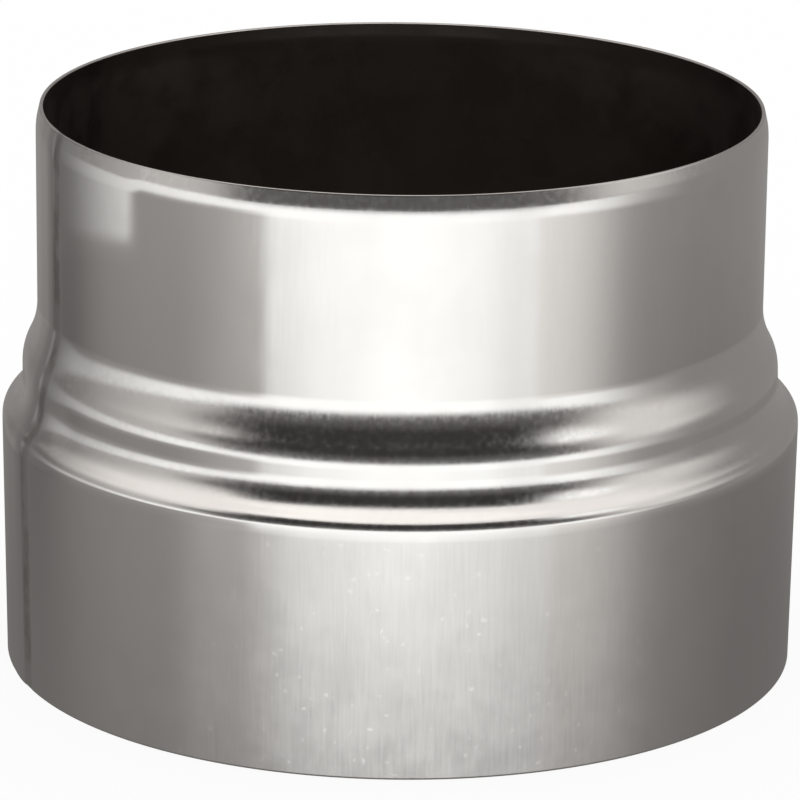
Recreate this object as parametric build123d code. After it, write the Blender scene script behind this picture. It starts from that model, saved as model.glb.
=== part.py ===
from build123d import *
from math import atan2, cos, degrees, sin, tan
import os

# Stove pipe reducer: one sheet of stainless steel, rolled, seam welded and formed into a wide collar, two
# rounded shoulders and a narrow spigot. Millimetres, +Z up, origin at the centre of the collar's open end.

# Driving dimensions
SHEET = 0.5                      # thickness of the sheet
SPIGOT_BORE = 100.0              # inside diameter of the narrow end
WAIST_RISE = 2.2                 # radial step of the upper shoulder, from the spigot out to the waist
COLLAR_RISE = 2.8                # radial step of the lower shoulder, from the waist out to the collar

COLLAR_HEIGHT = 34.4             # straight wall of the wide end
LOWER_SHOULDER_HEIGHT = 6.2
WAIST_HEIGHT = 1.4               # straight ring between the two shoulders
UPPER_SHOULDER_HEIGHT = 8.6
SPIGOT_HEIGHT = 26.3             # straight wall of the narrow end, below the lip
LIP_HEIGHT = 1.6                 # edge that is turned in so that the spigot enters the next pipe
LIP_TURN_IN = 0.3                # how far the lip's edge leans in

LOWER_SLOPE_RATIO = 1.75         # flank of the lower shoulder: its angle against the mean slope, from 1 to 2
LOWER_HOLLOW_SHARE = 0.74        # share of the lower shoulder's bends that its hollow has, the crown has the rest
UPPER_SLOPE_RATIO = 1.66         # the same two for the upper shoulder
UPPER_HOLLOW_SHARE = 0.62

SEAM_WIDTH = 6.2                 # lap seam, measured round the spigot
SEAM_LIFT_OUTSIDE = 0.15         # how far the lap stands proud of the outer face
SEAM_LIFT_INSIDE = 0.10          # how far it stands proud of the inner face
SEAM_ANGLE = 201.0               # place of the seam, counted from +X towards +Y

# Radii of the outer face
SPIGOT_RADIUS = SPIGOT_BORE / 2 + SHEET
WAIST_RADIUS = SPIGOT_RADIUS + WAIST_RISE
COLLAR_RADIUS = WAIST_RADIUS + COLLAR_RISE

# Levels where the straight walls end
COLLAR_TOP = COLLAR_HEIGHT
WAIST_BOTTOM = COLLAR_TOP + LOWER_SHOULDER_HEIGHT
WAIST_TOP = WAIST_BOTTOM + WAIST_HEIGHT
SPIGOT_BOTTOM = WAIST_TOP + UPPER_SHOULDER_HEIGHT
SPIGOT_TOP = SPIGOT_BOTTOM + SPIGOT_HEIGHT


def shoulder(start, radius_below, rise, height, slope_ratio, hollow_share, shift):
    """Return the section of a shoulder: a crown that leaves the wall below, a straight flank and a hollow that
    meets the wall above.

    Crown and hollow turn through the same angle, so both walls stay upright. shift moves the face outwards
    along its own normal.
    """
    turn = slope_ratio * atan2(rise, height)
    bend_radii = (height * sin(turn) - rise * cos(turn)) / (1 - cos(turn))
    crown_radius = bend_radii * (1 - hollow_share)
    hollow_radius = bend_radii * hollow_share
    crown_end = Vector(
        radius_below - crown_radius + (crown_radius + shift) * cos(turn),
        start.Y + (crown_radius + shift) * sin(turn),
    )
    hollow_end = Vector(radius_below - rise + shift, start.Y + height)
    hollow_start = hollow_end + Vector(1 - cos(turn), -sin(turn)) * (hollow_radius - shift)
    crown = TangentArc(start, crown_end, tangent=(0, 1))
    flank = Line(crown_end, hollow_start)
    hollow = TangentArc(hollow_start, hollow_end, tangent=flank % 1)
    return [crown, flank, hollow]


def lip_points(shift):
    """Return where the lip's bend and its level edge lie, on the face moved outwards by shift."""
    lean = atan2(LIP_TURN_IN, LIP_HEIGHT)
    bend = Vector(SPIGOT_RADIUS + shift, SPIGOT_TOP + shift * tan(lean / 2))
    edge = Vector(SPIGOT_RADIUS - LIP_TURN_IN + shift / cos(lean), SPIGOT_TOP + LIP_HEIGHT)
    return bend, edge


def wall_line(shift):
    """Return the upright section line of the outer face, moved outwards along its normal by shift."""
    lip_bend, lip_edge = lip_points(shift)
    collar = Line((COLLAR_RADIUS + shift, 0), (COLLAR_RADIUS + shift, COLLAR_TOP))
    lower = shoulder(
        collar @ 1,
        COLLAR_RADIUS,
        COLLAR_RISE,
        LOWER_SHOULDER_HEIGHT,
        LOWER_SLOPE_RATIO,
        LOWER_HOLLOW_SHARE,
        shift,
    )
    waist = Line(lower[-1] @ 1, (WAIST_RADIUS + shift, WAIST_TOP))
    upper = shoulder(
        waist @ 1,
        WAIST_RADIUS,
        WAIST_RISE,
        UPPER_SHOULDER_HEIGHT,
        UPPER_SLOPE_RATIO,
        UPPER_HOLLOW_SHARE,
        shift,
    )
    spigot = Line(upper[-1] @ 1, lip_bend)
    lip = Line(lip_bend, lip_edge)
    return [collar, *lower, waist, *upper, spigot, lip]


def wall_section(outside, inside):
    """Return the face between two section lines, one outside and one inside the sheet's outer face."""
    outer = wall_line(outside)
    inner = wall_line(-inside)
    base_edge = Line(inner[0] @ 0, outer[0] @ 0)
    top_edge = Line(outer[-1] @ 1, inner[-1] @ 1)
    flat = make_face(Wire([base_edge, *outer, top_edge, *inner]).edges())
    return Plane.XZ * flat


def turned(section, start_angle, sweep):
    """Return a section revolved about the axis, from start_angle through sweep degrees."""
    return Rot(0, 0, start_angle) * revolve(section, axis=Axis.Z, revolution_arc=sweep)


def formed_sheet(seam_sweep):
    """Return the sheet itself, which runs from one edge of the seam round to the other."""
    return turned(wall_section(0, SHEET), SEAM_ANGLE + seam_sweep / 2, 360 - seam_sweep)


def lap_seam(seam_sweep):
    """Return the welded lap, a narrow strip that follows every bend and is thicker than the sheet."""
    section = wall_section(SEAM_LIFT_OUTSIDE, SHEET + SEAM_LIFT_INSIDE)
    return turned(section, SEAM_ANGLE - seam_sweep / 2, seam_sweep)


def reducer_shell():
    """Return the whole reducer as one solid."""
    seam_sweep = degrees(SEAM_WIDTH / SPIGOT_RADIUS)
    return formed_sheet(seam_sweep) + lap_seam(seam_sweep)


os.makedirs("parts", exist_ok=True)
export_step(reducer_shell(), "parts/reducer_shell.step")
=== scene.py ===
"""Looks of a stove pipe reducer: one formed sheet of stainless steel in a plain studio.

The sheet is drawn as a section line, given its thickness and turned about the upright axis. Its sizes are in
millimetres, and become metres, the scene's unit, when the mesh is made.
"""

import logging
import math
from dataclasses import dataclass, field
from enum import Enum
from typing import NamedTuple

import bpy
import numpy as np
from mathutils import Matrix, Vector


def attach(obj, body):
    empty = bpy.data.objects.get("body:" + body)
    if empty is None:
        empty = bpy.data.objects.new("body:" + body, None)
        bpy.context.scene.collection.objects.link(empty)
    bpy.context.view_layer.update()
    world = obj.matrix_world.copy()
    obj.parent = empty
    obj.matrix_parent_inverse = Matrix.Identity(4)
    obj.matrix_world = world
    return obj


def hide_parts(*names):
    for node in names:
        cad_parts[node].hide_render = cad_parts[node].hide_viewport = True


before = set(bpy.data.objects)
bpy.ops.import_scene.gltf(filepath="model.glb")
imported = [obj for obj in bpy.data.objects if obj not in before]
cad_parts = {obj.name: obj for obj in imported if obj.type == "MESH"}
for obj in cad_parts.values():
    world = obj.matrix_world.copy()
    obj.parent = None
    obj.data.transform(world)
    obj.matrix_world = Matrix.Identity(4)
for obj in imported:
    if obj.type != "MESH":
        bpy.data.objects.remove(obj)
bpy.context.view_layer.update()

LOG = logging.getLogger("reducer")
MM = 0.001
QUARTER_TURN = 90.0
HALF_TURN = 180.0
FULL_TURN = 360.0
FORMED = "formed"

Colour = tuple[float, float, float]
Bends = tuple[tuple[float, float], ...]
Socket = bpy.types.NodeSocket


class Face(Enum):
    """Parts of the sheet's surface, each with a finish of its own. The value is its material's place."""

    OUTSIDE = 0
    INSIDE = 1
    CUT_EDGE = 2


def smooth_step(low: float, high: float, value: np.ndarray) -> np.ndarray:
    """Make a smooth change from 0 at low to 1 at high.

    Args:
        low: Value where the change starts.
        high: Value where the change ends.
        value: Values to place between them.

    Returns:
        Shares from 0 to 1.
    """
    share = np.clip((value - low) / (high - low), 0.0, 1.0)
    return share * share * (3.0 - 2.0 * share)


class PenPoint(NamedTuple):
    """A point of the outer face's section, with its lean from upright in degrees, positive to the axis."""

    radius: float
    level: float
    lean: float


class SheetPen:
    """Draws the section of the sheet's outer face upwards, in straight runs and tangent bends.

    A bend has a point every BEND_STEP degrees or less. A run has one about every RUN_STEP millimetres, and
    if it is longer than SHORT_RUN also one at RUN_END from either end, so that smooth shading keeps the
    bends beside it in shape.
    """

    BEND_STEP = 2.2
    BEND_PARTS = 2
    RUN_STEP = 2.0
    RUN_END = 0.15
    SHORT_RUN = 0.45

    def __init__(self, radius: float, level: float, lean: float) -> None:
        """Set the pen down.

        Args:
            radius: Distance from the axis, in millimetres.
            level: Height, in millimetres.
            lean: Angle from upright in degrees, positive towards the axis.
        """
        self.points = [PenPoint(radius, level, lean)]

    @property
    def end(self) -> PenPoint:
        """Return the point that the pen has reached."""
        return self.points[-1]

    def straight(self, top: float) -> None:
        """Draw straight on.

        Args:
            top: Level where the run ends.
        """
        start = self.end
        slope = math.tan(math.radians(start.lean))
        rise = top - start.level
        parts = max(1, round(rise / self.RUN_STEP))
        climbs = {rise * part / parts for part in range(1, parts + 1)}
        if rise > self.SHORT_RUN:
            climbs |= {self.RUN_END, rise - self.RUN_END}
        for climb in sorted(climbs):
            self.points.append(PenPoint(start.radius - climb * slope, start.level + climb, start.lean))

    def bend(self, bend_radius: float, end_lean: float) -> None:
        """Draw an arc that is tangent to what came before.

        Args:
            bend_radius: Radius of the arc.
            end_lean: Angle from upright where the arc ends.
        """
        start = self.end
        turn = end_lean - start.lean
        side = math.copysign(bend_radius, turn)
        first = math.radians(start.lean)
        parts = max(self.BEND_PARTS, math.ceil(abs(turn) / self.BEND_STEP))
        for part in range(1, parts + 1):
            lean = start.lean + turn * part / parts
            now = math.radians(lean)
            radius = start.radius + side * (math.cos(now) - math.cos(first))
            level = start.level + side * (math.sin(now) - math.sin(first))
            self.points.append(PenPoint(radius, level, lean))

    def bends(self, row: Bends) -> None:
        """Draw a row of bends, each given by its radius and the lean where it ends."""
        for bend_radius, end_lean in row:
            self.bend(bend_radius, end_lean)


@dataclass(frozen=True)
class SectionPoint:
    """One corner of the sheet's closed section.

    Outward points away from the sheet. Lap is the share of the seam's lift that the point takes, and bridge
    is the way from it to a straight line across the shoulders, in millimetres away from the axis.
    """

    radius: float
    level: float
    outward: tuple[float, float]
    face: Face
    lap: float
    bridge: float = 0.0


@dataclass(frozen=True)
class LapSeam:
    """Welded lap that runs up the sheet: a low ridge with a sunk line along one edge, which the finishes
    darken with painted shadow.

    Angles and edges are in degrees, from +X towards +Y, and lifts in millimetres. The stiff lap cuts across
    the shoulders by a share of the way, and this dies out over bridge_edge on either side.
    """

    ridge_from: float = 197.4
    ridge_to: float = 201.7
    line_to: float = 204.3
    ridge_lift: float = 0.09
    line_depth: float = 0.04
    outer_edge: float = 2.2
    inner_edge: float = 0.8
    inner_share: float = 0.6
    bridge_share: float = 0.45
    bridge_edge: float = 10.0

    def bridged(self, angle: np.ndarray) -> np.ndarray:
        """Say how far the lap cuts across the shoulders.

        Args:
            angle: Angles in degrees, from +X towards +Y.

        Returns:
            Shares of the way to a straight line, one for each angle.
        """
        start = smooth_step(self.ridge_from - self.bridge_edge, self.ridge_from, angle)
        stop = smooth_step(self.line_to, self.line_to + self.bridge_edge, angle)
        return self.bridge_share * (start - stop)

    def lift(self, angle: np.ndarray) -> np.ndarray:
        """Say how far the outer face stands proud.

        Args:
            angle: Angles in degrees, from +X towards +Y.

        Returns:
            Heights in millimetres, negative in the sunk line.
        """
        rise = smooth_step(self.ridge_from - self.outer_edge, self.ridge_from + self.outer_edge, angle)
        fall = smooth_step(self.ridge_to - self.inner_edge, self.ridge_to + self.inner_edge, angle)
        close = smooth_step(self.line_to - self.inner_edge, self.line_to + self.inner_edge, angle)
        return self.ridge_lift * (rise - fall) - self.line_depth * (fall - close)


@dataclass
class ReducerSheet:
    """The formed sheet: collar, two shoulders with a waist between them, spigot and lip.

    Lengths are in millimetres and leans in degrees from upright, positive towards the axis. The shoulders
    and the lip are rows of tangent bends, each with its radius and the lean where it ends. The sheet passes
    from straight to formed as the slope of its section goes from bent_from to bent_fully. Steps between
    columns of points are in degrees.
    """

    thickness: float = 0.5
    collar_foot: float = 55.42
    collar_lean: float = -0.6
    collar_top: float = 33.3
    collar_offset: float = 0.18
    lower_shoulder: Bends = ((26.0, 2.0), (2.1, 55.0), (4.17, 35.0), (5.4, 9.2), (8.5, 0.8))
    waist: float = 1.4
    upper_shoulder: Bends = ((6.5, 28.3), (12.2, 0.0))
    spigot_top: float = 74.8
    lip: Bends = ((12.0, 7.5), (5.0, 13.0))
    rim: float = 78.5
    edge_round: float = 0.12
    edge_parts: int = 3
    bent_from: float = 0.04
    bent_fully: float = 0.22
    column_step: float = 1.125
    seam_step: float = 0.25
    seam: LapSeam = field(default_factory=LapSeam)
    line: list[PenPoint] = field(init=False)
    spigot_bottom: float = field(init=False)

    def __post_init__(self) -> None:
        """Draw the outer face's section, from the collar's foot to the rim."""
        pen = SheetPen(self.collar_foot, self.edge_round, self.collar_lean)
        pen.straight(self.collar_top)
        pen.bends(self.lower_shoulder)
        pen.straight(pen.end.level + self.waist)
        pen.bends(self.upper_shoulder)
        self.spigot_bottom = pen.end.level
        pen.straight(self.spigot_top)
        pen.bends(self.lip)
        pen.straight(self.rim - self.edge_round)
        self.line = pen.points

    def bridges(self) -> list[float]:
        """Return how far each point of the line lies within a straight line from the collar to the spigot."""
        walls = [point for point in self.line if not self.collar_top < point.level < self.spigot_bottom]
        levels = [point.level for point in walls]
        radii = [point.radius for point in walls]
        return [np.interp(point.level, levels, radii) - point.radius for point in self.line]

    def section(self) -> list[SectionPoint]:
        """Return the closed section: up the outside, over the rim, down the inside and under the foot."""
        outside = []
        inside = []
        for point, bridge in zip(self.line, self.bridges()):
            lean = math.radians(point.lean)
            normal = Vector((math.cos(lean), math.sin(lean)))
            place = Vector((point.radius, point.level))
            within = place - self.thickness * normal
            outside.append(SectionPoint(*place, tuple(normal), Face.OUTSIDE, 1.0, bridge))
            inside.append(SectionPoint(*within, tuple(-normal), Face.INSIDE, self.seam.inner_share, bridge))
        foot = [self.corner(wall[0], -1.0) for wall in (outside, inside)]
        rim = [self.corner(wall[-1], 1.0) for wall in (outside, inside)]
        return outside + rim[0] + rim[1][::-1] + inside[::-1] + foot[1] + foot[0][::-1]

    def corner(self, wall: SectionPoint, way: float) -> list[SectionPoint]:
        """Round the corner between a wall and the cut edge at its end.

        Args:
            wall: Last point of the wall.
            way: 1 for the upper end and -1 for the lower.

        Returns:
            Points from the wall to the cut edge.
        """
        normal = Vector(wall.outward)
        side = 1.0 if wall.face is Face.OUTSIDE else -1.0
        along = way * side * Vector((-normal.y, normal.x))
        centre = Vector((wall.radius, wall.level)) - self.edge_round * normal
        points = []
        for part in range(1, self.edge_parts + 1):
            turn = math.radians(QUARTER_TURN * part / self.edge_parts)
            spot = centre + self.edge_round * (math.cos(turn) * normal + math.sin(turn) * along)
            points.append(SectionPoint(*spot, wall.outward, Face.CUT_EDGE, wall.lap))
        return points

    def formed(self, section: list[SectionPoint]) -> np.ndarray:
        """Return how strongly each point of the section was bent when the sheet was formed, from 0 to 1."""
        slope = np.array([abs(point.outward[1]) for point in section])
        return smooth_step(self.bent_from, self.bent_fully, slope)

    def offset(self, level: np.ndarray) -> np.ndarray:
        """Return how far the axis lies to the right at each level, as the collar sits off the spigot."""
        return self.collar_offset * (1.0 - smooth_step(self.collar_top, self.spigot_bottom, level))

    def angles(self) -> np.ndarray:
        """Return the angles of the upright columns of points, closer together at the seam."""
        near = (self.seam.ridge_from - self.seam.outer_edge, self.seam.line_to + self.seam.outer_edge)
        coarse = np.arange(0.0, FULL_TURN, self.column_step)
        coarse = coarse[(coarse < near[0]) | (coarse > near[1])]
        fine = np.arange(near[0], near[1], self.seam_step)
        return np.sort(np.concatenate([coarse, fine]))

    def points(self, section: list[SectionPoint], angle: np.ndarray) -> np.ndarray:
        """Turn the section about the axis.

        Args:
            section: Corners of the section.
            angle: Angles of the columns, in degrees.

        Returns:
            Points in metres, one ring of them for each corner.
        """
        turn = np.radians(angle)
        lift = self.seam.lift(angle)
        bridged = self.seam.bridged(angle)
        rings = []
        for point in section:
            radius = point.radius + point.lap * lift * point.outward[0] + point.bridge * bridged
            level = np.clip(point.level + point.lap * lift * point.outward[1], 0.0, self.rim)
            across = radius * np.cos(turn) + self.offset(level)
            rings.append(np.stack([across, radius * np.sin(turn), level], axis=1))
        return np.concatenate(rings) * MM

    @staticmethod
    def quads(rings: int, columns: int) -> np.ndarray:
        """Join each ring of points to the next, and the last to the first.

        Args:
            rings: Number of rings.
            columns: Number of points in a ring.

        Returns:
            Places of the four points of each face, ring by ring.
        """
        column = np.arange(columns)
        after = (column + 1) % columns
        faces = []
        for ring in range(rings):
            low = ring * columns
            high = (ring + 1) % rings * columns
            faces.append(np.stack([low + column, low + after, high + after, high + column], axis=1))
        return np.concatenate(faces)

    @staticmethod
    def finish_places(section: list[SectionPoint]) -> np.ndarray:
        """Say which finish each ring of faces has: the cut edge's where it joins two kinds of face.

        Args:
            section: Corners of the section.

        Returns:
            Places of the materials.
        """
        pairs = [(low.face, high.face) for low, high in zip(section, section[1:] + section[:1])]
        faces = [low if low is high else Face.CUT_EDGE for low, high in pairs]
        return np.array([face.value for face in faces], dtype=np.int32)

    def build(self) -> bpy.types.Object:
        """Return the sheet as a mesh object in the frame's place."""
        section = self.section()
        angle = self.angles()
        count = len(angle)
        mesh = bpy.data.meshes.new("reducer_sheet")
        mesh.from_pydata(self.points(section, angle).tolist(), [], self.quads(len(section), count).tolist())
        mesh.polygons.foreach_set("material_index", np.repeat(self.finish_places(section), count))
        mesh.polygons.foreach_set("use_smooth", np.ones(len(mesh.polygons), dtype=bool))
        formed = mesh.attributes.new(FORMED, "FLOAT", "POINT")
        formed.data.foreach_set("value", np.repeat(self.formed(section), count).astype(np.float32))
        mesh.update()
        piece = bpy.data.objects.new("reducer_sheet", mesh)
        bpy.context.scene.collection.objects.link(piece)
        return piece

    def dress(self, piece: bpy.types.Object) -> None:
        """Give each kind of face its finish.

        Args:
            piece: The sheet's mesh object.
        """
        effects = SheetEffects()
        for face in Face:
            piece.data.materials.append(FINISHES[face].material(effects, self))


class NodeBoard:
    """A node tree with short ways to add and join nodes."""

    MIX_SHARE = 0
    MIX_COLOURS = (6, 7)
    MIX_RESULT = 2

    def __init__(self, tree: bpy.types.NodeTree) -> None:
        """Keep the tree and empty it.

        Args:
            tree: Node tree of a material, a world or a group.
        """
        self.tree = tree
        tree.nodes.clear()

    def add(
        self, kind: str, inputs: dict[str | int, object] | None = None, **settings: object
    ) -> bpy.types.Node:
        """Add a node.

        Args:
            kind: Blender's name of the node.
            inputs: Socket values or sockets to link from, by socket name or place.
            settings: Properties of the node.

        Returns:
            The new node.
        """
        node = self.tree.nodes.new(kind)
        for name, value in settings.items():
            setattr(node, name, value)
        for key, value in (inputs or {}).items():
            if isinstance(value, Socket):
                self.tree.links.new(value, node.inputs[key])
            else:
                node.inputs[key].default_value = value
        return node

    def group(self, tree: bpy.types.NodeTree, inputs: dict[str, object]) -> Socket:
        """Place a node group.

        Args:
            tree: Group to place.
            inputs: Values or sockets for its inputs.

        Returns:
            The group's output.
        """
        return self.add("ShaderNodeGroup", inputs, node_tree=tree).outputs[0]

    def math(self, operation: str, *values: object) -> Socket:
        """Do a sum.

        Args:
            operation: Name of the Math node's operation.
            values: Numbers or sockets for its inputs, in order.

        Returns:
            Socket with the result.
        """
        return self.add("ShaderNodeMath", dict(enumerate(values)), operation=operation).outputs[0]

    def ramp(
        self, value: Socket, low: float, high: float, bottom: object = 0.0, top: object = 1.0
    ) -> Socket:
        """Make a smooth change from bottom to top while a value goes from low to high.

        Args:
            value: Socket that drives the change.
            low: Value where the change starts.
            high: Value where the change ends.
            bottom: Result at low.
            top: Result at high.

        Returns:
            Socket with the result.
        """
        inputs = dict(enumerate((value, low, high, bottom, top)))
        return self.add("ShaderNodeMapRange", inputs, interpolation_type="SMOOTHSTEP").outputs[0]

    def blend(self, share: object, below: object, above: object) -> Socket:
        """Mix two colours.

        Args:
            share: Share of the colour above.
            below: Colour or socket at share 0.
            above: Colour or socket at share 1.

        Returns:
            Socket with the mixed colour.
        """
        first, second = self.MIX_COLOURS
        inputs = {self.MIX_SHARE: share, first: opaque(below), second: opaque(above)}
        return self.add("ShaderNodeMix", inputs, data_type="RGBA").outputs[self.MIX_RESULT]


def opaque(colour: object) -> object:
    """Return a colour with its alpha added, or a socket as it is."""
    return colour if isinstance(colour, Socket) else (*colour, 1.0)


class StudioCamera:
    """Camera at the photograph's viewing angle, with its turn, tilt and roll."""

    PLACE = Vector((0.0, -0.6934, 0.2481))
    TILT = math.radians(17.040)
    TURN = math.radians(0.010)
    ROLL = math.radians(0.648)
    LENS = 232.30
    SENSOR = 36.0
    CLIP_START = 0.01

    def build(self) -> bpy.types.Object:
        """Return the camera, set as the scene's own."""
        level = Vector((math.cos(self.TURN), -math.sin(self.TURN), 0.0))
        ahead = Vector(
            (
                math.sin(self.TURN) * math.cos(self.TILT),
                math.cos(self.TURN) * math.cos(self.TILT),
                -math.sin(self.TILT),
            )
        )
        upright = level.cross(ahead)
        right = math.cos(self.ROLL) * level + math.sin(self.ROLL) * upright
        up = math.cos(self.ROLL) * upright - math.sin(self.ROLL) * level
        data = bpy.data.cameras.new("photo_angle")
        data.lens = self.LENS
        data.sensor_width = self.SENSOR
        data.clip_start = self.CLIP_START
        camera = bpy.data.objects.new("photo_angle", data)
        axes = Matrix((right, up, -ahead)).transposed()
        camera.matrix_world = Matrix.Translation(self.PLACE) @ axes.to_4x4()
        bpy.context.scene.collection.objects.link(camera)
        bpy.context.scene.camera = camera
        return camera


@dataclass(frozen=True)
class Panel:
    """A soft edged part of the studio's surroundings, in degrees of turn and height seen from the object.

    Turn is 0 towards the front and counts to the right. Softness is the half width of the side and the end
    edges, and cover is how much the panel hides of what lies behind it.
    """

    tone: Colour
    turn: tuple[float, float]
    height: tuple[float, float]
    softness: tuple[float, float]
    cover: float = 1.0


RED_WARMTH = 1.045
BLUE_WARMTH = 0.965
BLUE_WHITENESS = 0.985


def warm(level: float) -> Colour:
    """Return a slightly warm grey, by the brightness of its green share."""
    return (RED_WARMTH * level, level, BLUE_WARMTH * level)


def white(level: float) -> Colour:
    """Return a plain white, by its brightness."""
    return (level, level, BLUE_WHITENESS * level)


ALL_ROUND = (-400.0, 400.0)
ZENITH = 120.0
NADIR = -120.0


@dataclass
class StudioWorld:
    """Plain soft studio: an even white dome, and surroundings that the bright metal mirrors.

    Each panel lies over those before it in the row.
    """

    backdrop: Colour = (1.0, 1.0, 1.0)
    dome: Colour = (1.0, 1.0, 1.0)
    room: Colour = warm(0.29)
    panels: tuple[Panel, ...] = (
        # Back of the room and the ground there
        Panel(warm(0.17), (-146.0, -112.0), (-40.0, 26.0), (14.0, 10.0)),
        Panel(warm(0.21), ALL_ROUND, (NADIR, -18.0), (20.0, 2.0)),
        # Pale side walls
        Panel(warm(0.63), (-97.0, -40.0), (2.0, ZENITH), (25.0, 7.0)),
        Panel(warm(0.56), (40.0, 88.0), (-13.0, 12.0), (14.0, 2.0)),
        Panel(warm(0.86), (40.0, 104.0), (6.0, ZENITH), (20.0, 7.0)),
        # Soft light from above
        Panel(warm(0.95), (-122.0, -40.0), (27.0, ZENITH), (22.0, 15.0)),
        Panel(warm(1.12), ALL_ROUND, (41.0, ZENITH), (20.0, 14.0)),
        Panel(warm(1.36), ALL_ROUND, (70.0, ZENITH), (20.0, 6.0)),
        Panel(warm(1.36), (-76.0, 10.0), (58.0, ZENITH), (12.0, 6.0)),
        Panel(warm(1.34), (-20.0, 60.0), (65.0, ZENITH), (12.0, 6.0)),
        Panel(white(1.35), (44.0, 72.0), (26.5, 42.0), (5.0, 5.0)),
        # Ground beside the object
        Panel(warm(0.37), (-102.0, 88.0), (NADIR, -12.0), (30.0, 4.0)),
        Panel(warm(0.56), (-60.0, 70.0), (NADIR, -12.0), (16.0, 4.0)),
        Panel(warm(1.05), (20.0, 60.0), (NADIR, -12.0), (17.0, 3.0)),
        # White table, with its far edge and the ground under the object
        Panel(white(1.30), (-98.0, 30.0), (-10.5, 2.5), (40.0, 2.5)),
        Panel(white(1.36), (10.0, 68.0), (-12.8, 1.0), (16.0, 1.2)),
        Panel(white(1.28), (-42.0, 43.5), (NADIR, 0.0), (2.5, 4.0)),
        Panel(white(1.50), (-30.0, 30.0), (NADIR, 0.0), (7.0, 4.0)),
        Panel(warm(0.0), ALL_ROUND, (NADIR, -15.8), (20.0, 0.9), 0.18),
        Panel(white(1.50), (-12.0, 14.0), (NADIR, 0.0), (15.0, 4.0)),
        Panel(white(1.48), (-45.0, 20.0), (-14.0, 0.0), (14.0, 2.0)),
        Panel(warm(0.55), (-60.0, -30.0), (NADIR, -18.2), (8.0, 0.8)),
        Panel(white(1.30), (-34.0, 34.0), (NADIR, -18.2), (14.0, 0.8)),
        Panel(white(1.60), (-16.0, 18.0), (NADIR, -18.2), (14.0, 0.8)),
        Panel(warm(0.19), ALL_ROUND, (NADIR, -21.8), (20.0, 3.2)),
        # Dark opening in front of the object
        Panel(warm(0.22), (-65.0, -20.0), (12.0, 25.0), (10.0, 6.0)),
        Panel(warm(0.14), (0.0, 60.0), (1.5, 21.0), (14.0, 5.0)),
        Panel(warm(0.16), (-54.0, 48.0), (-0.5, 48.0), (9.0, 5.0)),
        Panel(warm(0.034), (-50.0, 45.0), (12.5, 46.0), (10.0, 10.0)),
    )

    def build(self) -> bpy.types.World:
        """Return the world, set as the scene's own."""
        world = bpy.data.worlds.new("studio")
        world.use_nodes = True
        board = NodeBoard(world.node_tree)
        place = board.add("ShaderNodeTexCoord").outputs["Generated"]
        split = board.add("ShaderNodeSeparateXYZ", {0: place})
        height = board.math("DEGREES", board.math("ARCSINE", split.outputs[2]))
        ahead = board.math("MULTIPLY", split.outputs[1], -1.0)
        turn = board.math("DEGREES", board.math("ARCTAN2", split.outputs[0], ahead))
        tone: object = self.room
        for panel in self.panels:
            tone = board.blend(self.mask(board, panel, turn, height), tone, panel.tone)
        path = board.add("ShaderNodeLightPath")
        lit = board.blend(path.outputs["Is Glossy Ray"], self.dome, tone)
        shown = board.blend(path.outputs["Is Camera Ray"], lit, self.backdrop)
        light = board.add("ShaderNodeBackground", {"Color": shown, "Strength": 1.0})
        board.add("ShaderNodeOutputWorld", {"Surface": light.outputs[0]})
        bpy.context.scene.world = world
        return world

    @staticmethod
    def mask(board: NodeBoard, panel: Panel, turn: Socket, height: Socket) -> Socket:
        """Say how much a panel covers in a direction.

        Args:
            board: World's node board.
            panel: Panel to place.
            turn: Socket with the direction's turn, in degrees.
            height: Socket with its height, in degrees.

        Returns:
            Socket with a share from 0 to 1.
        """
        left, right = panel.turn
        bottom, top = panel.height
        side, end = panel.softness
        half = (right - left) / 2
        aside = board.math("ABSOLUTE", board.math("SUBTRACT", turn, (left + right) / 2))
        across = board.ramp(aside, half - side, half + side, 1.0, 0.0)
        rising = board.ramp(height, bottom - end, bottom + end)
        falling = board.ramp(height, top - end, top + end, 1.0, 0.0)
        within = board.math("MULTIPLY", across, board.math("MULTIPLY", rising, falling))
        return board.math("MULTIPLY", within, panel.cover)


class StudioFloor:
    """Pale floor that carries the object's soft shadow."""

    RADIUS = 6.0
    SIDES = 96
    TONE: Colour = (0.97, 0.97, 0.97)
    GLOW: Colour = (1.0, 1.0, 1.0)
    SHADOW_SHARE = 0.12

    def build(self) -> bpy.types.Object:
        """Return the floor, hidden from glossy rays."""
        turns = np.linspace(0.0, 2.0 * math.pi, self.SIDES, endpoint=False)
        points = [(self.RADIUS * math.cos(turn), self.RADIUS * math.sin(turn), 0.0) for turn in turns]
        mesh = bpy.data.meshes.new("floor")
        mesh.from_pydata(points, [], [list(range(self.SIDES))])
        floor = bpy.data.objects.new("floor", mesh)
        bpy.context.scene.collection.objects.link(floor)
        mesh.materials.append(self.material())
        floor.visible_glossy = False
        return floor

    def material(self) -> bpy.types.Material:
        """Return the floor's finish: matt, and white to the camera, which sees a share of its shadow."""
        material = bpy.data.materials.new("floor_paint")
        material.use_nodes = True
        board = NodeBoard(material.node_tree)
        matt = board.add("ShaderNodeBsdfDiffuse", {"Color": opaque(self.TONE)})
        glow = board.add("ShaderNodeEmission", {"Color": opaque(self.GLOW), "Strength": 1.0})
        seen = board.add("ShaderNodeLightPath").outputs["Is Camera Ray"]
        share = board.math("MULTIPLY", seen, 1.0 - self.SHADOW_SHARE)
        both = board.add("ShaderNodeMixShader", {0: share, 1: matt.outputs[0], 2: glow.outputs[0]})
        board.add("ShaderNodeOutputMaterial", {"Surface": both.outputs[0]})
        return material


FLOAT = "NodeSocketFloat"
VECTOR = "NodeSocketVector"


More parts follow.
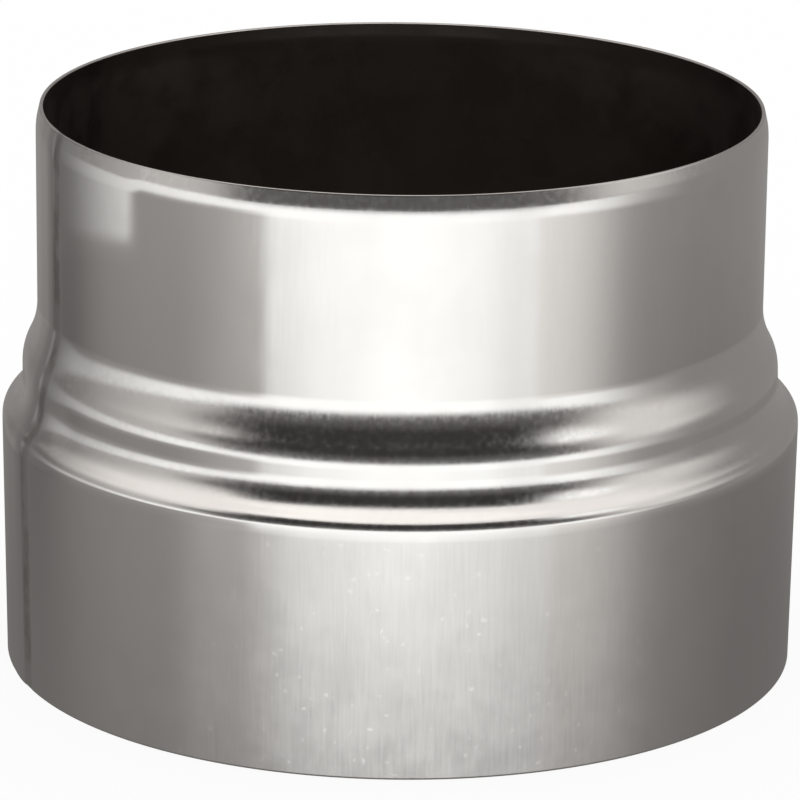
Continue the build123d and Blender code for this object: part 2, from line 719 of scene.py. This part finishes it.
@dataclass(frozen=True)
class GroupBoard:
    """A shader node group while it is made: its board, its input node and its output node."""

    board: NodeBoard
    given: bpy.types.Node
    made: bpy.types.Node

    @classmethod
    def new(cls, name: str, inputs: dict[str, str], output: tuple[str, str]) -> "GroupBoard":
        """Start a group.

        Args:
            name: Name of the group.
            inputs: Socket types by name.
            output: Name and type of its one output.

        Returns:
            The group, with its input and output nodes in place.
        """
        tree = bpy.data.node_groups.new(name, "ShaderNodeTree")
        for label, kind in inputs.items():
            tree.interface.new_socket(label, in_out="INPUT", socket_type=kind)
        tree.interface.new_socket(output[0], in_out="OUTPUT", socket_type=output[1])
        board = NodeBoard(tree)
        return cls(board, board.add("NodeGroupInput"), board.add("NodeGroupOutput"))

    def finish(self, result: Socket) -> bpy.types.NodeTree:
        """Join the result to the group's output and return the group."""
        self.board.tree.links.new(result, self.made.inputs[0])
        return self.board.tree


class SheetEffects:
    """Node groups for what the faces of the sheet share: grain, clouds, specks, upright bands and lean."""

    NOISE_MIDDLE = 0.5
    GRAIN_NOISE = {"Detail": 2.0, "Roughness": 0.6}
    CLOUD_NOISE = {"Detail": 4.0, "Roughness": 0.6}
    CLOUD_RANGE = (0.3, 0.7)
    SPECK_NOISE = {"Detail": 1.0, "Roughness": 0.5}
    SPECK_FADE = 0.1

    def __init__(self) -> None:
        """Build each group once."""
        self.grain = self._grain()
        self.cloud = self._cloud()
        self.specks = self._specks()
        self.band = self._band()
        self.lean = self._lean()

    def _grain(self) -> bpy.types.NodeTree:
        """Return fine upright streaks from -0.5 to 0.5, by their width and length in metres."""
        inputs = {"Place": VECTOR, "Width": FLOAT, "Length": FLOAT}
        group = GroupBoard.new("upright_grain", inputs, ("Grain", FLOAT))
        board, given = group.board, group.given.outputs
        split = board.add("ShaderNodeSeparateXYZ", {0: given["Place"]})
        sizes = (given["Width"], given["Width"], given["Length"])
        shares = [board.math("DIVIDE", part, size) for part, size in zip(split.outputs, sizes)]
        spot = board.add("ShaderNodeCombineXYZ", dict(enumerate(shares))).outputs[0]
        noise = board.add("ShaderNodeTexNoise", {"Vector": spot, "Scale": 1.0, **self.GRAIN_NOISE})
        return group.finish(board.math("SUBTRACT", noise.outputs[0], self.NOISE_MIDDLE))

    def _cloud(self) -> bpy.types.NodeTree:
        """Return soft cloudy patches from 0 to 1, by their size in metres."""
        group = GroupBoard.new("cloudy_sheet", {"Place": VECTOR, "Size": FLOAT}, ("Cloud", FLOAT))
        board, given = group.board, group.given.outputs
        scale = board.math("DIVIDE", 1.0, given["Size"])
        spots = {"Vector": given["Place"], "Scale": scale, **self.CLOUD_NOISE}
        noise = board.add("ShaderNodeTexNoise", spots)
        return group.finish(board.ramp(noise.outputs[0], *self.CLOUD_RANGE))

    def _specks(self) -> bpy.types.NodeTree:
        """Return small spots, by their size in metres and the noise level above which they show."""
        inputs = {"Place": VECTOR, "Size": FLOAT, "Level": FLOAT}
        group = GroupBoard.new("specks", inputs, ("Specks", FLOAT))
        board, given = group.board, group.given.outputs
        scale = board.math("DIVIDE", 1.0, given["Size"])
        spots = {"Vector": given["Place"], "Scale": scale, **self.SPECK_NOISE}
        noise = board.add("ShaderNodeTexNoise", spots)
        above = board.math("SUBTRACT", noise.outputs[0], given["Level"])
        return group.finish(board.ramp(above, 0.0, self.SPECK_FADE))

    @staticmethod
    def _band() -> bpy.types.NodeTree:
        """Return a band that runs up the sheet between two angles, in degrees from -X towards -Y."""
        inputs = {"Place": VECTOR, "From": FLOAT, "To": FLOAT, "Softness": FLOAT}
        group = GroupBoard.new("upright_band", inputs, ("Band", FLOAT))
        board, given = group.board, group.given.outputs
        split = board.add("ShaderNodeSeparateXYZ", {0: given["Place"]})
        left = board.math("MULTIPLY", split.outputs[0], -1.0)
        front = board.math("MULTIPLY", split.outputs[1], -1.0)
        angle = board.math("DEGREES", board.math("ARCTAN2", front, left))
        past = board.math("SUBTRACT", angle, given["From"])
        before = board.math("SUBTRACT", given["To"], angle)
        inside = board.math("MINIMUM", past, before)
        return group.finish(board.ramp(board.math("DIVIDE", inside, given["Softness"]), -1.0, 1.0))

    @staticmethod
    def _lean() -> bpy.types.NodeTree:
        """Return a normal that is turned up by a lean in radians."""
        group = GroupBoard.new("leaning_normal", {"Normal": VECTOR, "Lean": FLOAT}, ("Normal", VECTOR))
        board, given = group.board, group.given.outputs
        push = board.add("ShaderNodeCombineXYZ", {2: given["Lean"]}).outputs[0]
        moved = board.add("ShaderNodeVectorMath", {0: given["Normal"], 1: push}, operation="ADD").outputs[0]
        return group.finish(board.add("ShaderNodeVectorMath", {0: moved}, operation="NORMALIZE").outputs[0])


@dataclass(frozen=True)
class PressedPatch:
    """Part of the spigot, under the lip, where the sheet was pressed in a little.

    Angles are in degrees from -X towards -Y and the lean is in radians. The lower edge fades out between two
    levels, in millimetres where Y is 0, and its slope is how much it rises towards the front.
    """

    angles: tuple[float, float] = (20.0, 45.8)
    angle_softness: float = 2.4
    levels: tuple[float, float] = (57.2, 62.7)
    slope: float = 0.2
    lean: float = 0.080


@dataclass(frozen=True)
class SheetFinish:
    """Finish of one face of the sheet.

    Sizes are in millimetres, leans in radians and the seam's softness in degrees. Grain has a lean for the
    straight walls and one for the bends. Painted shadow darkens the seam's sunk line, covering from its least
    share to its most.
    """

    name: str
    tone: Colour
    cloud_tone: Colour
    # Painted shadow colour for the seam's sunk line.
    seam_shadow_tone: Colour
    roughness: float
    roughness_spread: float
    collar_roughness: float = 0.0
    blotch_roughness: float = 0.0
    cloud_size: float = 9.0
    blotch_size: float = 0.8
    grain_width: float = 0.30
    grain_length: float = 7.0
    straight_lean: float = 0.013
    formed_lean: float = 0.045
    collar_fade: float = 1.0
    wave_size: float = 4.5
    collar_lean: float = 0.0
    speck_size: float = 1.1
    speck_level: float = 0.68
    speck_lean: float = 0.0
    # Painted shadow on the seam's sunk line: the size of its uneven patches, its edge softness, and its least
    # and most cover.
    seam_shadow_patch_size: float = 5.4
    seam_softness: float = 0.7
    seam_shadow_least: float = 0.21
    seam_shadow_most: float = 0.6
    patch: PressedPatch | None = None

    def material(self, effects: SheetEffects, sheet: ReducerSheet) -> bpy.types.Material:
        """Make the finish's material.

        Args:
            effects: Node groups that the finishes share.
            sheet: Sheet whose seam and collar the finish follows.

        Returns:
            The material.
        """
        material = bpy.data.materials.new(self.name)
        material.use_nodes = True
        board = NodeBoard(material.node_tree)
        place = board.add("ShaderNodeTexCoord").outputs["Object"]
        normal = board.add("ShaderNodeNewGeometry").outputs["Normal"]
        level = board.add("ShaderNodeSeparateXYZ", {0: place}).outputs[2]
        formed = board.add("ShaderNodeAttribute", attribute_name=FORMED).outputs["Fac"]
        low = (sheet.collar_top - self.collar_fade) * MM
        high = (sheet.collar_top + self.collar_fade) * MM
        collar = board.ramp(level, low, high, 1.0, 0.0)
        cloud = board.group(effects.cloud, {"Place": place, "Size": self.cloud_size * MM})
        blotch = board.group(effects.cloud, {"Place": place, "Size": self.blotch_size * MM})
        lean = self.lean(board, effects, place, formed, collar)
        if self.patch:
            lean = board.math("ADD", lean, self.pressed(board, effects, place))
        plain = board.blend(cloud, self.tone, self.cloud_tone)
        # Painted shadow: the seam's sunk line is darkened in the colour.
        colour = board.blend(self.seam_shadow_cover(board, effects, sheet.seam, place), plain, self.seam_shadow_tone)
        rough = board.ramp(cloud, 0.0, 1.0, self.roughness, self.roughness + self.roughness_spread)
        rough = board.math("MULTIPLY_ADD", collar, self.collar_roughness, rough)
        mottled = board.math("MULTIPLY", blotch, formed)
        rough = board.math("MULTIPLY_ADD", mottled, self.blotch_roughness, rough)
        tilted = board.group(effects.lean, {"Normal": normal, "Lean": lean})
        shader = board.add(
            "ShaderNodeBsdfPrincipled",
            {"Base Color": colour, "Metallic": 1.0, "Roughness": rough, "Normal": tilted},
        )
        board.add("ShaderNodeOutputMaterial", {"Surface": shader.outputs[0]})
        return material

    def lean(
        self, board: NodeBoard, effects: SheetEffects, place: Socket, formed: Socket, collar: Socket
    ) -> Socket:
        """Lean the surface a little: grain all over, and soft waves with a few specks on the collar.

        Args:
            board: Material's node board.
            effects: Node groups that the finishes share.
            place: Place on the sheet.
            formed: How strongly the sheet was bent.
            collar: Share that is 1 on the collar.

        Returns:
            Socket with the lean, in radians.
        """
        grain_size = {"Width": self.grain_width * MM, "Length": self.grain_length * MM}
        grain = board.group(effects.grain, {"Place": place, **grain_size})
        wave = board.group(effects.cloud, {"Place": place, "Size": self.wave_size * MM})
        speck_size = {"Size": self.speck_size * MM, "Level": self.speck_level}
        specks = board.group(effects.specks, {"Place": place, **speck_size})
        amount = board.ramp(formed, 0.0, 1.0, self.straight_lean, self.formed_lean)
        streaks = board.math("MULTIPLY", grain, amount)
        swing = board.math("SUBTRACT", wave, effects.NOISE_MIDDLE)
        waves = board.math("MULTIPLY", swing, self.collar_lean)
        dents = board.math("MULTIPLY_ADD", specks, self.speck_lean, waves)
        return board.math("MULTIPLY_ADD", dents, collar, streaks)

    def pressed(self, board: NodeBoard, effects: SheetEffects, place: Socket) -> Socket:
        """Lean the surface of the pressed patch.

        Args:
            board: Material's node board.
            effects: Node groups that the finishes share.
            place: Place on the sheet.

        Returns:
            Socket with the lean, in radians.
        """
        start, stop = self.patch.angles
        low, high = self.patch.levels
        edges = {"From": start, "To": stop, "Softness": self.patch.angle_softness}
        band = board.group(effects.band, {"Place": place, **edges})
        split = board.add("ShaderNodeSeparateXYZ", {0: place})
        level = board.math("MULTIPLY_ADD", split.outputs[1], self.patch.slope, split.outputs[2])
        return board.math("MULTIPLY", band, board.ramp(level, low * MM, high * MM, 0.0, self.patch.lean))

    def seam_shadow_cover(self, board: NodeBoard, effects: SheetEffects, seam: LapSeam, place: Socket) -> Socket:
        """Say how much painted shadow covers the seam's sunk line, uneven along its length.

        Args:
            board: Material's node board.
            effects: Node groups that the finishes share.
            seam: Seam whose line is tinted.
            place: Place on the sheet.

        Returns:
            Socket with a share from 0 to 1.
        """
        edges = {
            "From": seam.ridge_to - HALF_TURN,
            "To": seam.line_to - HALF_TURN,
            "Softness": self.seam_softness,
        }
        line = board.group(effects.band, {"Place": place, **edges})
        shadow_patches = board.group(effects.cloud, {"Place": place, "Size": self.seam_shadow_patch_size * MM})
        return board.math("MULTIPLY", line, board.ramp(shadow_patches, 0.0, 1.0, self.seam_shadow_least, self.seam_shadow_most))


FINISHES: dict[Face, SheetFinish] = {
    Face.OUTSIDE: SheetFinish(
        name="bright_sheet",
        tone=(0.70, 0.695, 0.685),
        cloud_tone=(0.69, 0.68, 0.67),
        seam_shadow_tone=(0.16, 0.14, 0.12),
        roughness=0.11,
        roughness_spread=0.03,
        collar_roughness=0.03,
        blotch_roughness=0.10,
        collar_lean=0.006,
        speck_lean=0.010,
        patch=PressedPatch(),
    ),
    # Painted shade: the bare steel inside is given a near-black colour, standing in for the unlit inside of
    # the pipe.
    Face.INSIDE: SheetFinish(
        name="painted_shade_inside",
        tone=(0.188, 0.163, 0.146),
        cloud_tone=(0.145, 0.125, 0.112),
        seam_shadow_tone=(0.06, 0.05, 0.045),
        roughness=0.30,
        roughness_spread=0.10,
    ),
    Face.CUT_EDGE: SheetFinish(
        name="cut_edge",
        tone=(0.55, 0.53, 0.51),
        cloud_tone=(0.45, 0.43, 0.42),
        seam_shadow_tone=(0.16, 0.14, 0.12),
        roughness=0.30,
        roughness_spread=0.10,
    ),
}


def main() -> None:
    """Build the camera, the studio and the reducer."""
    logging.basicConfig(level=logging.INFO, format="%(name)s: %(message)s")
    bpy.context.scene.view_settings.view_transform = "Standard"
    StudioCamera().build()
    StudioWorld().build()
    StudioFloor().build()
    sheet = ReducerSheet()
    piece = sheet.build()
    sheet.dress(piece)
    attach(piece, "root")
    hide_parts("reducer_shell")
    LOG.info("%s: %d points, %d faces", piece.name, len(piece.data.vertices), len(piece.data.polygons))


if __name__ == "__main__":
    main()
